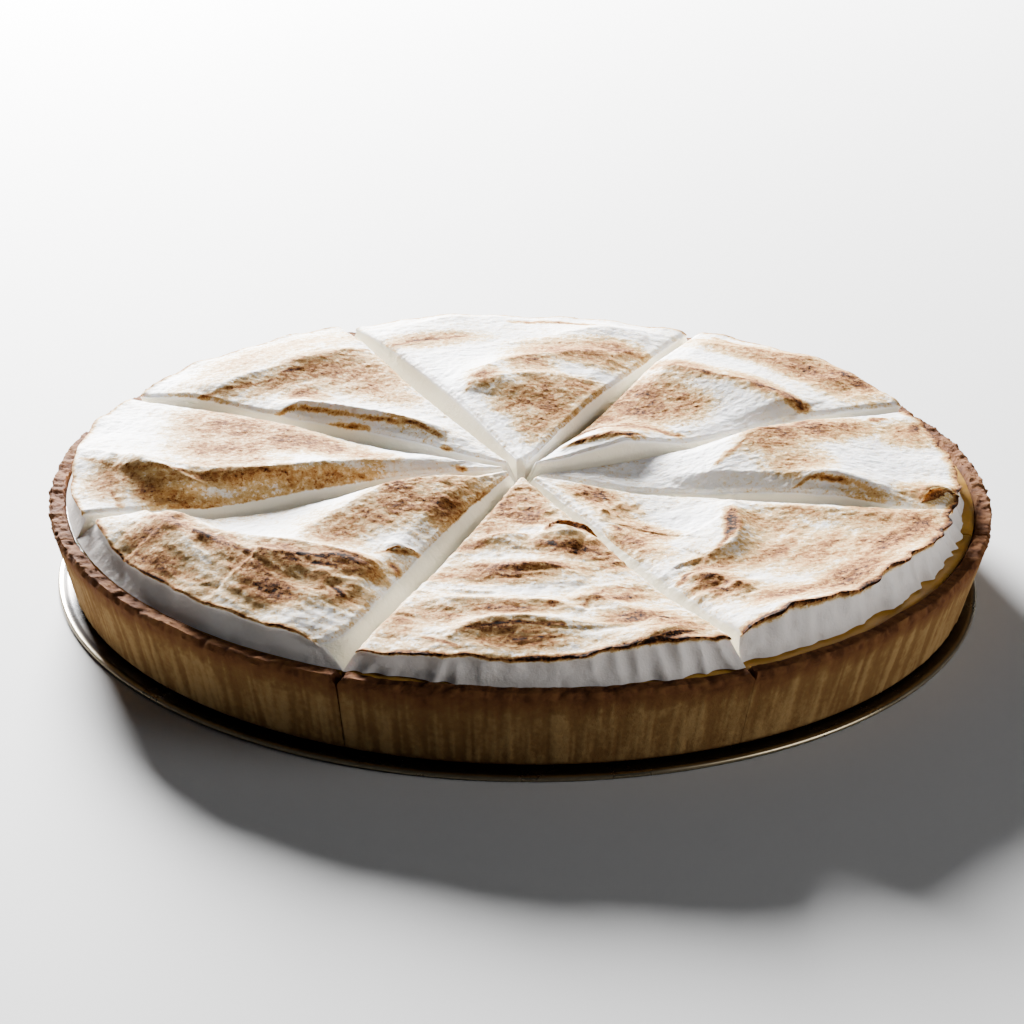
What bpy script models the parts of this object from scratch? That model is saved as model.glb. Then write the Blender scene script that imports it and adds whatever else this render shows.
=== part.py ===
"""Lemon meringue tart, cut into eight portions that still stand together as a whole.

A shortcrust case with a flared side holds a layer of lemon curd, and a torched
meringue lies on the curd. The case stands on the thin round base of its tart tin.
Every portion is three solids: its piece of crust, of curd and of meringue.
Metres, +Z up. The origin is on the surface that the tart stands on, under its centre.
"""
import math

import bmesh
import bpy
import numpy as np
from mathutils import Vector

MM = 0.001

# Tin base
BASE_RADIUS = 137.2 * MM
BASE_THICKNESS = 1.6 * MM
BASE_SHIFT = (-0.5 * MM, -2.4 * MM)
BASE_BEVEL = 0.3 * MM
BASE_SEGMENTS = 96

# Crust
CONTACT_GAP = 0.3 * MM
CRUST_BOTTOM = BASE_THICKNESS + CONTACT_GAP
CRUST_HEIGHT = 24.7 * MM
RIM_RADIUS = 140.0 * MM
FOOT_RADIUS = 133.8 * MM
FOOT_ROUNDING = 1.0 * MM
RIM_THICKNESS = 5.0 * MM
RIM_SHOULDER = 1.6 * MM
FLOOR_THICKNESS = 4.0 * MM
RIM_LUMP = 0.5 * MM
CRUST_STEPS = 14

# Lemon curd
CURD_BELOW_RIM = 1.3 * MM
CURD_STEPS = 8

# Cuts, in degrees from +X towards +Y
CUT_ANGLES = (23.9, 64.6, 116.2, 155.5, 199.1, 250.0, 296.8, 347.5)
CUT_HALF_GAP = 0.4 * MM
TIP_RADIUS = 2.2 * MM

# Meringue, with one value for each portion where portions differ
MERINGUE_REACH = (130.5, 128.8, 132.4, 133.0, 129.5, 129.5, 129.5, 129.5)
FOOT_REACH = (131.6, 130.4, 133.8, 134.2, 133.9, 132.2, 130.6, 131.0)
MERINGUE_UNDERCUT = 1.5 * MM
MERINGUE_TIP_RADIUS = 6.0 * MM
EDGE_WAVE = 0.9 * MM
EDGE_LIFT = 0.5 * MM
RADIAL_CELLS = 19
ANGULAR_CELLS = 14
SIDE_LEVELS = (0.14, 0.5, 1.0)
CREST_POWER = 1.25

# Cuts through the meringue. Each half opening is given in mm for the face before the
# cut and the face after it, as how far it bulges in the middle and its width at the rim.
MOUTH_TIP = 1.0
CORNER_ROUNDING = 7.0
CUT_MOUTHS = (
    ((1.4, 1.6), (1.4, 1.6)),
    ((1.2, 1.6), (1.2, 1.6)),
    ((1.7, 1.9), (1.7, 1.9)),
    ((1.7, 1.8), (1.7, 1.8)),
    ((2.0, 1.9), (2.4, 1.9)),
    ((3.2, 3.0), (1.4, 1.8)),
    ((1.0, 2.0), (1.3, 2.0)),
    ((1.2, 1.8), (1.5, 2.4)),
)

# Height of the meringue above the rim in mm along each portion's first and second
# cut, at these radii in mm. The surface is stretched from one cut to the other.
SIDE_RADII = (15, 35, 55, 75, 95, 115, 131)
SIDE_HEIGHTS = {
    1: ((6.0, 8.3, 4.4, 4.5, 6.5, 6.9, 6.3), (4.0, 3.3, 4.4, 6.0, 7.5, 6.0, 5.4)),
    2: ((5.0, 6.5, 7.5, 6.5, 6.0, 5.8, 5.4), (6.0, 7.5, 8.0, 8.0, 8.0, 7.2, 5.6)),
    3: ((5.0, 5.5, 5.5, 5.8, 6.6, 6.6, 5.0), (5.5, 6.0, 5.6, 5.3, 6.2, 6.8, 4.6)),
    4: ((4.5, 3.0, 4.0, 6.0, 6.0, 4.8, 4.0), (5.5, 5.6, 4.8, 3.6, 2.4, 5.0, 6.2)),
    5: ((5.0, 5.0, 4.0, 2.2, 1.8, 6.8, 5.0), (5.0, 5.0, 4.6, 4.0, 4.2, 4.8, 4.4)),
    6: ((4.3, 4.1, 3.9, 3.6, 4.6, 5.0, 4.6), (4.2, 4.2, 4.6, 3.5, 3.8, 6.0, 7.0)),
    7: ((3.8, 3.6, 2.6, 2.5, 3.8, 5.5, 7.0), (3.5, 1.8, 2.6, 3.4, 4.5, 5.5, 6.5)),
    8: ((2.5, 0.9, 1.6, 4.4, 5.8, 4.4, 5.0), (3.0, 3.3, 3.9, 7.0, 7.8, 6.0, 5.2)),
}

# How much higher or lower the torched edge stands, in mm at even steps along it.
EDGE_RISE = {
    5: (0.0, -0.5, -2.5, -3.0, -2.5, -1.5, -1.5, -1.0, -1.0),
    6: (-0.5, -0.5, -0.8, -0.5, -1.0, 0.0, 0.5, 1.5, 0.0),
    7: (0.3, 4.8, 4.2, 2.3, 3.5, 3.8, 1.5, 0.0, 0.7),
}

# Spatula strokes of each meringue portion. A stroke is a crest that runs through
# its points (radius in mm, angle in degrees). Then come its height and how far the
# surface slopes away on the left and on the right of its run, in mm.
STROKES = {
    1: (
        (((86, 64), (87, 57), (89, 48), (92, 40), (94, 32), (96, 27)), 4.6, 10, 18),
        (((114, 66), (116, 60), (122, 50), (127, 42), (128, 32)), 2.4, 8, 16),
        (((16, 50), (22, 45), (32, 36), (42, 29), (50, 26)), 2.4, 14, 4),
    ),
    2: (
        (((54, 109), (62, 103), (70, 98), (78, 89), (86, 80), (94, 73)), 4.2, 9, 17),
        (((56, 104), (59, 95), (63, 85), (66, 76)), 2.2, 6, 16),
        (((118, 111), (124, 101), (125, 92)), 1.6, 6, 12),
        (((106, 84), (114, 77), (119, 70)), 3.0, 8, 14),
    ),
    3: (
        (((110, 153), (107, 145), (104, 136), (104, 128), (106, 119)), 4.0, 16, 6),
        (((86, 154), (78, 149), (60, 147), (45, 143), (31, 136)), 5.0, 6, 16),
    ),
    4: (
        (
            ((134, 178), (117, 183), (100, 187.5), (83, 190), (67, 191.5), (51, 192), (35, 190), (19, 180)),
            5.4, 32, 9,
        ),
        (((117, 184), (109, 188), (99, 192), (90, 196)), 3.2, 4, 11),
    ),
    5: (
        (((112, 203), (106, 208), (104, 214), (98, 221), (91, 229), (87, 238), (87, 245)), 5.8, 6, 28),
        (((92, 224), (78, 221), (63, 218), (45, 213), (30, 211), (17, 212)), 5.6, 13, 26),
        (((72, 238), (70, 245), (75, 250)), 1.8, 3, 7),
    ),
    6: (
        (((45, 279), (50, 286), (53, 291)), 3.0, 3, 10),
        (((57, 256), (52, 264), (51, 272)), 2.0, 3, 9),
        (((76, 262), (72, 270), (73, 277), (80, 284)), 3.0, 7, 12),
        (((97, 257), (97, 268), (98, 275), (103, 280)), 2.8, 5, 8),
        (((121, 261), (112, 265), (110, 272), (112, 279)), 3.2, 5, 9),
        (((95, 279), (95, 283), (103, 286), (112, 289)), 2.2, 5, 6),
        (((131, 284), (125, 287), (122, 291)), 2.0, 8, 4),
    ),
    7: (
        (((64, 341), (70, 333), (76, 326), (80, 319), (80, 311)), 5.2, 4, 18),
        (((36, 318), (55, 322), (66, 321)), -2.4, 14, 14),
        (((62, 340), (90, 342), (112, 344)), 2.4, 12, 10),
        (((90, 301), (92, 304), (96, 306)), 2.4, 4, 5),
        (((101, 305), (107, 307)), 1.8, 4, 5),
    ),
    8: (
        (((50, 352), (58, 1), (65, 9), (74, 17), (86, 22)), 4.8, 15, 30),
        (((82, 350), (90, 353.5), (98, 352.5), (109, 351)), 3.0, 8, 4),
        (((119, 354), (128, 353)), 2.4, 5, 5),
    ),
}


def clear_scene():
    """Remove whatever the file opened with."""
    for obj in list(bpy.data.objects):
        bpy.data.objects.remove(obj, do_unlink=True)


def make_collection(name):
    """The collection that holds the tart's pieces."""
    collection = bpy.data.collections.new(name)
    bpy.context.scene.collection.children.link(collection)
    return collection


def make_material(name, color, roughness, metallic=0.0, subsurface=0.0):
    """A plain Principled material for one piece."""
    material = bpy.data.materials.new(name)
    material.use_nodes = True
    shader = material.node_tree.nodes["Principled BSDF"]
    shader.inputs["Base Color"].default_value = (*color, 1.0)
    shader.inputs["Roughness"].default_value = roughness
    shader.inputs["Metallic"].default_value = metallic
    shader.inputs["Subsurface Weight"].default_value = subsurface
    return material


def add_object(name, mesh, material, collection, smooth_deg=40.0):
    """Link a mesh as a named object, shaded smooth except at its sharp edges."""
    obj = bpy.data.objects.new(name, mesh)
    obj.data.materials.append(material)
    mesh.shade_smooth()
    mesh.set_sharp_from_angle(angle=math.radians(smooth_deg))
    collection.objects.link(obj)
    return obj


def portion_angles(portion):
    """Start and end angle of a portion in radians, counted from the first cut."""
    start = CUT_ANGLES[portion - 1]
    end = CUT_ANGLES[portion % len(CUT_ANGLES)]
    if end < start:
        end += 360.0
    return math.radians(start), math.radians(end)


def angle_across(portion, share, radius, start_gap, end_gap):
    """Angle at a share of the way across a portion whose faces lie their half gaps off the cuts."""
    start, end = portion_angles(portion)
    widest = 0.48 * (end - start)
    start_inset = min(math.asin(min(start_gap / radius, 0.99)), widest)
    end_inset = min(math.asin(min(end_gap / radius, 0.99)), widest)
    return start + start_inset + share * (end - start - start_inset - end_inset)


def polar_point(radius, angle, height):
    return Vector((radius * math.cos(angle), radius * math.sin(angle), height))


def finish_mesh(bm, name):
    """Turn a closed bmesh into a mesh with its faces pointing out."""
    bmesh.ops.recalc_face_normals(bm, faces=bm.faces)
    mesh = bpy.data.meshes.new(name)
    bm.to_mesh(mesh)
    bm.free()
    return mesh


def rim_lumps(angle):
    """Uneven height of the hand-pressed rim: a few waves that don't repeat."""
    waves = ((7, 0.3, 0.30), (19, 1.9, 0.26), (31, 4.1, 0.24), (47, 2.7, 0.20))
    total = sum(weight * math.sin(count * angle + phase) for count, phase, weight in waves)
    return RIM_LUMP * (total - 1.0)


def inner_wall_radius(height):
    """Inside of the flared side at a height above the crust's own bottom."""
    flare = (RIM_RADIUS - FOOT_RADIUS) / (CRUST_HEIGHT - RIM_SHOULDER)
    return RIM_RADIUS - RIM_THICKNESS - flare * (CRUST_HEIGHT - RIM_SHOULDER - height)


def crust_profile():
    """Closed section of the case as (radius, height above its bottom, share of the rim's lumps)."""
    shoulder = CRUST_HEIGHT - RIM_SHOULDER
    middle = RIM_RADIUS - 0.5 * RIM_THICKNESS
    inner = RIM_RADIUS - RIM_THICKNESS
    corner = 0.4 * RIM_SHOULDER
    return (
        (FOOT_RADIUS - FOOT_ROUNDING, 0.0, 0.0),
        (FOOT_RADIUS, FOOT_ROUNDING, 0.0),
        (RIM_RADIUS, shoulder, 0.0),
        (RIM_RADIUS - corner, CRUST_HEIGHT - corner, 0.7),
        (middle, CRUST_HEIGHT, 1.0),
        (inner + corner, CRUST_HEIGHT - corner, 0.7),
        (inner, shoulder, 0.0),
        (inner_wall_radius(FLOOR_THICKNESS + 2.0 * FOOT_ROUNDING), FLOOR_THICKNESS + 2.0 * FOOT_ROUNDING, 0.0),
        (inner_wall_radius(FLOOR_THICKNESS) - 2.0 * FOOT_ROUNDING, FLOOR_THICKNESS, 0.0),
        (TIP_RADIUS, FLOOR_THICKNESS, 0.0),
        (TIP_RADIUS, 0.0, 0.0),
    )


def curd_profile():
    """Closed section of the curd, a contact gap inside the case."""
    bottom = FLOOR_THICKNESS + CONTACT_GAP
    top = CRUST_HEIGHT - CURD_BELOW_RIM
    lift = bottom + 2.5 * FOOT_ROUNDING
    side = 1.5 * CONTACT_GAP
    return (
        (inner_wall_radius(FLOOR_THICKNESS) - 2.6 * FOOT_ROUNDING, bottom, 0.0),
        (inner_wall_radius(lift) - side, lift, 0.0),
        (inner_wall_radius(top) - side, top - CONTACT_GAP, 0.0),
        (inner_wall_radius(top) - 3.0 * side, top, 0.0),
        (TIP_RADIUS, top, 0.0),
        (TIP_RADIUS, bottom, 0.0),
    )


def swept_portion(name, portion, profile, steps, half_gap):
    """Sweep a closed section across one portion and cap it at both cut faces.

    The grid's columns run round the section and its rows across the portion.
    """
    bm = bmesh.new()
    rows = []
    for row in range(steps + 1):
        share = row / steps
        ring = []
        for radius, height, lump_share in profile:
            angle = angle_across(portion, share, radius, half_gap, half_gap)
            lump = lump_share * rim_lumps(angle)
            ring.append(bm.verts.new(polar_point(radius, angle, CRUST_BOTTOM + height + lump)))
        edges = [bm.edges.new((ring[i - 1], ring[i])) for i in range(len(ring))]
        rows.append(edges)
    for first, second in zip(rows, rows[1:]):
        bmesh.ops.bridge_loops(bm, edges=first + second)
    for edges in (rows[0], rows[-1]):
        bmesh.ops.contextual_create(bm, geom=edges)
    return finish_mesh(bm, name)


def stroke_curve(points, samples=16):
    """A smooth curve through a stroke's points, as an array of x, y in mm."""
    corners = [
        np.array((radius * math.cos(math.radians(angle)), radius * math.sin(math.radians(angle))))
        for radius, angle in points
    ]
    corners = [2.0 * corners[0] - corners[1], *corners, 2.0 * corners[-1] - corners[-2]]
    curve = []
    for before, start, end, after in zip(corners, corners[1:], corners[2:], corners[3:]):
        for step in range(samples):
            t = step / samples
            linear = end - before
            square = 2.0 * before - 5.0 * start + 4.0 * end - after
            cubic = 3.0 * start - before - 3.0 * end + after
            curve.append(0.5 * (2.0 * start + linear * t + square * t**2 + cubic * t**3))
    curve.append(corners[-2])
    return np.array(curve)


def stroke_height(x, y, stroke):
    """Height in mm that one stroke adds at the points x, y in mm."""
    points, height, left_width, right_width = stroke
    curve = stroke_curve(points)
    start = curve[:-1]
    run = curve[1:] - start
    offset_x = x[:, None] - start[None, :, 0]
    offset_y = y[:, None] - start[None, :, 1]
    length_squared = (run**2).sum(axis=1)
    along = np.clip((offset_x * run[:, 0] + offset_y * run[:, 1]) / length_squared, 0.0, 1.0)
    away = np.hypot(offset_x - along * run[:, 0], offset_y - along * run[:, 1])
    nearest = away.argmin(axis=1)
    pick = np.arange(len(x))
    side = run[nearest, 0] * offset_y[pick, nearest] - run[nearest, 1] * offset_x[pick, nearest]
    width = np.where(side > 0.0, left_width, right_width)
    reach = (nearest + along[pick, nearest]) / len(run)
    fade = 0.35 + 0.65 * np.sin(math.pi * np.clip(reach, 0.0, 1.0)) ** 0.6
    return height * fade * np.exp(-((away[pick, nearest] / width) ** CREST_POWER))


def edge_rise(portion, across, radius):
    """Extra height in mm of the torched edge, which fades out towards the tart's centre."""
    rises = EDGE_RISE.get(portion, (0.0, 0.0))
    share = np.minimum(radius / MERINGUE_REACH[portion - 1], 1.0)
    return np.interp(across, np.linspace(0.0, 1.0, len(rises)), rises) * share**8


def meringue_height(portion, across, radius, angle):
    """Top of one meringue portion in mm above the crust's rim, at points in mm and radians."""
    start, end = (np.interp(radius, SIDE_RADII, heights) for heights in SIDE_HEIGHTS[portion])
    height = start + across * (end - start) + edge_rise(portion, across, radius)
    first, last = portion_angles(portion)
    side = np.minimum(across, 1.0 - across) * (last - first) * radius
    near = np.clip(side / 9.0, 0.0, 1.0)
    kept = 0.25 + 0.75 * near * near * (3.0 - 2.0 * near)
    for stroke in STROKES[portion]:
        height += kept * stroke_height(radius * np.cos(angle), radius * np.sin(angle), stroke)
    return height


def cut_mouth(cut, face, radius):
    """Half the width of a cut at the meringue's top, for the face before (0) or after (1) it."""
    middle, edge = CUT_MOUTHS[cut % len(CUT_MOUTHS)][face]
    share = min(max(radius / (129.5 * MM), 0.0), 1.0)
    corner = CORNER_ROUNDING * share**24 if (cut, face) == (5, 0) else 0.0
    bulge = middle * math.sin(math.pi * share) ** 0.8 if share < 1.0 else 0.0
    return (MOUTH_TIP + (edge - MOUTH_TIP) * share**2 + bulge + corner) * MM


def edge_wave(angle):
    """The torched skin's uneven edge."""
    waves = ((7, 0.9, 0.4), (17, 2.2, 0.4), (29, 5.0, 0.3), (43, 1.7, 0.2))
    return sum(weight * math.sin(count * angle + phase) for count, phase, weight in waves)


def meringue_place(portion, outward, across, depth):
    """Plan position of a meringue point: shares outward and across, and depth from 0, top, to 1, foot."""
    start, end = portion_angles(portion)
    rough_angle = start + across * (end - start)
    top_edge = MERINGUE_REACH[portion - 1] * MM + EDGE_WAVE * edge_wave(rough_angle)
    undercut = MERINGUE_UNDERCUT * math.sin(math.pi * min(depth / 0.6, 1.0))
    edge = top_edge + (FOOT_REACH[portion - 1] * MM - top_edge) * depth - undercut
    tip = MERINGUE_TIP_RADIUS + (TIP_RADIUS - MERINGUE_TIP_RADIUS) * depth
    radius = tip + outward * (edge - tip)
    closing = 1.0 - depth**0.8
    gaps = [
        CUT_HALF_GAP + (cut_mouth(cut, face, radius) - CUT_HALF_GAP) * closing
        for cut, face in ((portion - 1, 1), (portion, 0))
    ]
    return radius, angle_across(portion, across, radius, *gaps)


def meringue_portion(name, portion):
    """One meringue portion: a grid shaped by the strokes, with its border drawn down to a flat foot."""
    foot = CRUST_BOTTOM + CRUST_HEIGHT - CURD_BELOW_RIM + CONTACT_GAP
    rim = CRUST_BOTTOM + CRUST_HEIGHT
    bm = bmesh.new()
    bmesh.ops.create_grid(bm, x_segments=RADIAL_CELLS, y_segments=ANGULAR_CELLS, size=0.5)
    outward_layer = bm.verts.layers.float.new("outward")
    across_layer = bm.verts.layers.float.new("across")
    places = []
    for vert in bm.verts:
        vert[outward_layer] = vert.co.x + 0.5
        vert[across_layer] = vert.co.y + 0.5
        places.append(meringue_place(portion, vert[outward_layer], vert[across_layer], 0.0))
    radius, angle = np.array(places).T
    across_shares = np.array([vert[across_layer] for vert in bm.verts])
    tops = meringue_height(portion, across_shares, radius / MM, angle) * MM
    for vert, place, top in zip(bm.verts, places, tops):
        ripple = math.sin(13.0 * place[1] + 0.7) * math.sin(31.0 * place[1])
        lift = EDGE_LIFT * ripple * vert[outward_layer] ** 12
        vert.co = polar_point(place[0], place[1], rim + top + lift)
    top_of = {
        (round(vert[outward_layer], 4), round(vert[across_layer], 4)): vert.co.z for vert in bm.verts
    }
    border = [edge for edge in bm.edges if edge.is_boundary]
    for depth in SIDE_LEVELS:
        grown = bmesh.ops.extrude_edge_only(bm, edges=border)["geom"]
        border = [item for item in grown if isinstance(item, bmesh.types.BMEdge)]
        for vert in (item for item in grown if isinstance(item, bmesh.types.BMVert)):
            outward = vert[outward_layer]
            across = vert[across_layer]
            place = meringue_place(portion, outward, across, depth)
            top = top_of[(round(outward, 4), round(across, 4))]
            vert.co = polar_point(place[0], place[1], top + (foot - top) * depth)
    bmesh.ops.contextual_create(bm, geom=border)
    return finish_mesh(bm, name)


def base_mesh(name):
    """The tin's loose base: a thin round plate with its edges broken."""
    bm = bmesh.new()
    bmesh.ops.create_cone(
        bm,
        cap_ends=True,
        segments=BASE_SEGMENTS,
        radius1=BASE_RADIUS,
        radius2=BASE_RADIUS,
        depth=BASE_THICKNESS,
    )
    edges = [edge for edge in bm.edges if abs(edge.verts[0].co.z - edge.verts[1].co.z) < 0.5 * BASE_THICKNESS]
    bmesh.ops.bevel(bm, geom=edges, offset=BASE_BEVEL, segments=1, affect="EDGES")
    return finish_mesh(bm, name)


def build():
    clear_scene()
    collection = make_collection("lemon_meringue_tart")
    crust = make_material("shortcrust", (0.36, 0.20, 0.075), 0.75)
    curd = make_material("lemon_curd", (0.62, 0.36, 0.05), 0.25, subsurface=0.2)
    meringue = make_material("torched_meringue", (0.86, 0.80, 0.70), 0.55, subsurface=0.2)
    metal = make_material("tin_base_metal", (0.42, 0.40, 0.38), 0.28, metallic=1.0)

    base = add_object("tin_base", base_mesh("tin_base"), metal, collection)
    base.location = (*BASE_SHIFT, 0.5 * BASE_THICKNESS)

    for portion in range(1, len(CUT_ANGLES) + 1):
        name = f"crust_{portion}"
        mesh = swept_portion(name, portion, crust_profile(), CRUST_STEPS, CUT_HALF_GAP)
        add_object(name, mesh, crust, collection)
        name = f"filling_{portion}"
        mesh = swept_portion(name, portion, curd_profile(), CURD_STEPS, CUT_HALF_GAP)
        add_object(name, mesh, curd, collection)
        name = f"meringue_{portion}"
        add_object(name, meringue_portion(name, portion), meringue, collection)


build()
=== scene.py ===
# %% [markdown]
# # A torched lemon meringue tart
# This lesson dresses a cut lemon meringue tart. Its solids are already built: for each of the
# eight portions a piece of crust, a piece of curd and a piece of meringue, and a thin round tin
# base below them all. Each solid is replaced here by a finer mesh of the same form, with the
# ribs, crumbs, bubbles and burns that the oven and the blowtorch leave.

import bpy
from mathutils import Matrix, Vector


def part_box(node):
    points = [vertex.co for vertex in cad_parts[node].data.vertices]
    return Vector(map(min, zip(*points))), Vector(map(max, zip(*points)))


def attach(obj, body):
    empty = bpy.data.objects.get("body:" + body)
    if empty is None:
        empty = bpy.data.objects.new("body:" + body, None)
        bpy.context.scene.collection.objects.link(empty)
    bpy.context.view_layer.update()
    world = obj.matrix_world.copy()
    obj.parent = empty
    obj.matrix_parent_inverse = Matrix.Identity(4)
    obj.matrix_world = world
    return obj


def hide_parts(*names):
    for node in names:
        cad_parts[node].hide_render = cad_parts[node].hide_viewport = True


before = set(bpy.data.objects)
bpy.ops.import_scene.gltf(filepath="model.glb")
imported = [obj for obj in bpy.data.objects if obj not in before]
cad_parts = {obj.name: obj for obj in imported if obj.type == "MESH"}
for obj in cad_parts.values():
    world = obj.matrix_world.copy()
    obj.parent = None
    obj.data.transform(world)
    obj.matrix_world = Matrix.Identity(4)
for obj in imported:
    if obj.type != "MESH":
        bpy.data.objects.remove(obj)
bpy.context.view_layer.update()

# %% [markdown]
# ## The tools and the sizes
# The shapes are worked out with numpy, because a portion of meringue has tens of thousands of
# points and a Python loop over them is slow. Sizes that the solids know are read from them, so
# that both stay in step. Lengths on the tart are in millimetres and become metres at the end.

# %% Sizes read from the solids
import math

import bmesh
import bpy
import numpy as np
from mathutils import Matrix, Vector

MM = 0.001
PORTIONS = range(1, 9)
CUT_ANGLES = (23.9, 64.6, 116.2, 155.5, 199.1, 250.0, 296.8, 347.5)
TIP_RADIUS = 2.2
CONTACT_GAP = 0.3

rim_radius = -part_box("crust_4")[0][0] / MM
crust_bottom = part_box("crust_1")[0][2] / MM
curd_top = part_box("filling_1")[1][2] / MM
meringue_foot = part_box("meringue_1")[0][2] / MM
base_low, base_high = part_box("tin_base")
base_radius = (base_high[0] - base_low[0]) / 2.0 / MM
base_centre = ((base_high[0] + base_low[0]) / 2.0, (base_high[1] + base_low[1]) / 2.0)
base_top = base_high[2] / MM
CRUST_HEIGHT = 24.7
rim_top = crust_bottom + CRUST_HEIGHT
print(f"rim radius {rim_radius:.1f} mm, rim top {rim_top:.1f} mm, curd top {curd_top:.1f} mm")

# %% [markdown]
# ## The camera
# The photograph looks down on the tart by about 24 degrees from a metre away, through a long
# lens. The camera stands on that line of sight. It is turned a little, so that the tart sits in
# the picture where the photograph has it, and tipped by one degree, as the photograph is.

# %% Camera
IMAGE_PIXELS = 1024
FOCAL_PIXELS = 3331.6
SENSOR_WIDTH = 36.0
ELEVATION = math.radians(24.3)
DISTANCE = 7.18 * rim_radius * MM
ROLL = math.radians(1.0)
TART_PIXEL = (519.4, 558.5)

camera_data = bpy.data.cameras.new("camera")
camera_data.sensor_width = SENSOR_WIDTH
camera_data.lens = FOCAL_PIXELS / IMAGE_PIXELS * SENSOR_WIDTH
camera_data.clip_start = 0.05
camera = bpy.data.objects.new("camera", camera_data)
bpy.context.scene.collection.objects.link(camera)
aim = Vector((0.0, 0.0, crust_bottom * MM))
place = aim + DISTANCE * Vector((0.0, -math.cos(ELEVATION), math.sin(ELEVATION)))
look = (aim - place).to_track_quat("-Z", "Y").to_matrix().to_4x4()
across_turn = math.atan((TART_PIXEL[0] - IMAGE_PIXELS / 2) / FOCAL_PIXELS)
down_turn = math.atan((TART_PIXEL[1] - IMAGE_PIXELS / 2) / FOCAL_PIXELS)
turn = Matrix.Rotation(across_turn, 4, "Y") @ Matrix.Rotation(down_turn, 4, "X")
camera.matrix_world = Matrix.Translation(place) @ look @ Matrix.Rotation(ROLL, 4, "Z") @ turn
bpy.context.scene.camera = camera
print(f"camera {DISTANCE:.2f} m away, lens {camera_data.lens:.0f} mm")

# %% [markdown]
# ## Repeatable noise
# Crumbs, bubbles and toasting are uneven, but the tart has to be the same each time it is made.
# Value noise does both: every corner of a grid gets a fixed random value from a hash of its
# place, and the points between them are blended smoothly. Adding octaves gives finer detail.

# %% Noise for many points at once
def corner_value(x, y, z, seed):
    """A fixed random value from 0 to 1 for each whole-number corner."""
    mixed = (x * 374761393 + y * 668265263 + z * 1440662683 + seed * 1274126177) & 0xFFFFFFFF
    mixed = ((mixed ^ (mixed >> 13)) * 1274126177) & 0xFFFFFFFF
    return ((mixed ^ (mixed >> 16)) & 0xFFFF) / 65535.0


def noise_places(first, second):
    """Points for noise that has to change along two measures alone."""
    return np.stack([first, second + 0.0 * first, 0.0 * first], axis=-1).reshape(-1, 3)


def value_noise(points, size, seed):
    """Smooth noise from -1 to 1 at points in mm, with features about as large as size."""
    scaled = np.asarray(points, dtype=float) / size
    cell = np.floor(scaled).astype(np.int64)
    part = scaled - cell
    part = part * part * (3.0 - 2.0 * part)
    total = np.zeros(len(scaled))
    for corner in range(8):
        step = np.array((corner & 1, corner >> 1 & 1, corner >> 2 & 1))
        weight = np.prod(np.where(step == 1, part, 1.0 - part), axis=1)
        total += weight * corner_value(*(cell + step).T, seed)
    return 2.0 * total - 1.0


def layered_noise(points, size, seed, layers=3, fall=0.5):
    """Several octaves of noise, each half the size of the last."""
    total = np.zeros(len(points))
    for layer in range(layers):
        total += fall**layer * value_noise(points, size / 2**layer, seed + 17 * layer)
    return total


def wave_sum(angle, waves):
    """A sum of sine waves round the tart: how many to a turn, their phase and their height."""
    return sum(height * np.sin(count * angle + phase) for count, phase, height in waves)


def smooth_step(low, high, value):
    share = np.clip((value - low) / (high - low), 0.0, 1.0)
    return share * share * (3.0 - 2.0 * share)


print("noise at one place", value_noise([(1.0, 2.0, 3.0)], 2.2, 5))


# %% [markdown]
# ## Portions of a round tart
# Every piece of a portion is laid out by radius and by the share of the way across, from one
# cut to the next. The knife leaves a gap of even width, so the angle that the gap takes grows
# towards the tip. A helper does that sum, and another builds a closed mesh from the points.

# %% Helpers for portions
def portion_angles(portion):
    start = CUT_ANGLES[portion - 1]
    end = CUT_ANGLES[portion % len(CUT_ANGLES)]
    if end < start:
        end += 360.0
    return math.radians(start), math.radians(end)


def angle_across(portion, share, radius, start_gap, end_gap):
    """Angle at a share of the way across, with each face its own half gap off its cut."""
    start, end = portion_angles(portion)
    widest = 0.48 * (end - start)
    start_inset = np.minimum(np.arcsin(np.minimum(start_gap / radius, 0.99)), widest)
    end_inset = np.minimum(np.arcsin(np.minimum(end_gap / radius, 0.99)), widest)
    return start + start_inset + share * (end - start - start_inset - end_inset)


def polar_points(radius, angle, height):
    return np.stack([radius * np.cos(angle), radius * np.sin(angle), height], axis=-1)


def grid_quads(rows, columns, wrap=False):
    """Corner numbers of a grid's faces; wrap joins the last column to the first."""
    last = columns if wrap else columns - 1
    row, column = np.meshgrid(np.arange(rows - 1), np.arange(last), indexing="ij")
    beside = (column + 1) % columns
    corners = (row * columns + column, row * columns + beside, (row + 1) * columns + beside)
    return np.stack([*corners, (row + 1) * columns + column], axis=-1).reshape(-1, 4)


def make_piece(name, points, faces, values=None):
    """A smooth closed mesh from points in mm, with named values kept on its points."""
    mesh = bpy.data.meshes.new(name)
    mesh.from_pydata((points * MM).tolist(), [], faces)
    for label, numbers in (values or {}).items():
        layer = mesh.attributes.new(label, "FLOAT", "POINT")
        layer.data.foreach_set("value", np.asarray(numbers, dtype=np.float32))
    bm = bmesh.new()
    bm.from_mesh(mesh)
    bmesh.ops.recalc_face_normals(bm, faces=bm.faces)
    bm.to_mesh(mesh)
    bm.free()
    mesh.shade_smooth()
    mesh.set_sharp_from_angle(angle=math.radians(55))
    piece = bpy.data.objects.new(name, mesh)
    bpy.context.scene.collection.objects.link(piece)
    return piece


widths = [math.degrees(end - start) for start, end in map(portion_angles, PORTIONS)]
print("portion widths in degrees", [round(width, 1) for width in widths])


# %% [markdown]
# ## Spatula strokes
# The cook spreads the meringue with a few turns of a palette knife. Each turn leaves a crest
# that is steep on one side and runs out gently on the other. A stroke is therefore a curve
# through places (radius in mm, angle in degrees), followed by its height and by how far the
# foam slopes away on the left and on the right of its run, in mm.

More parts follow.
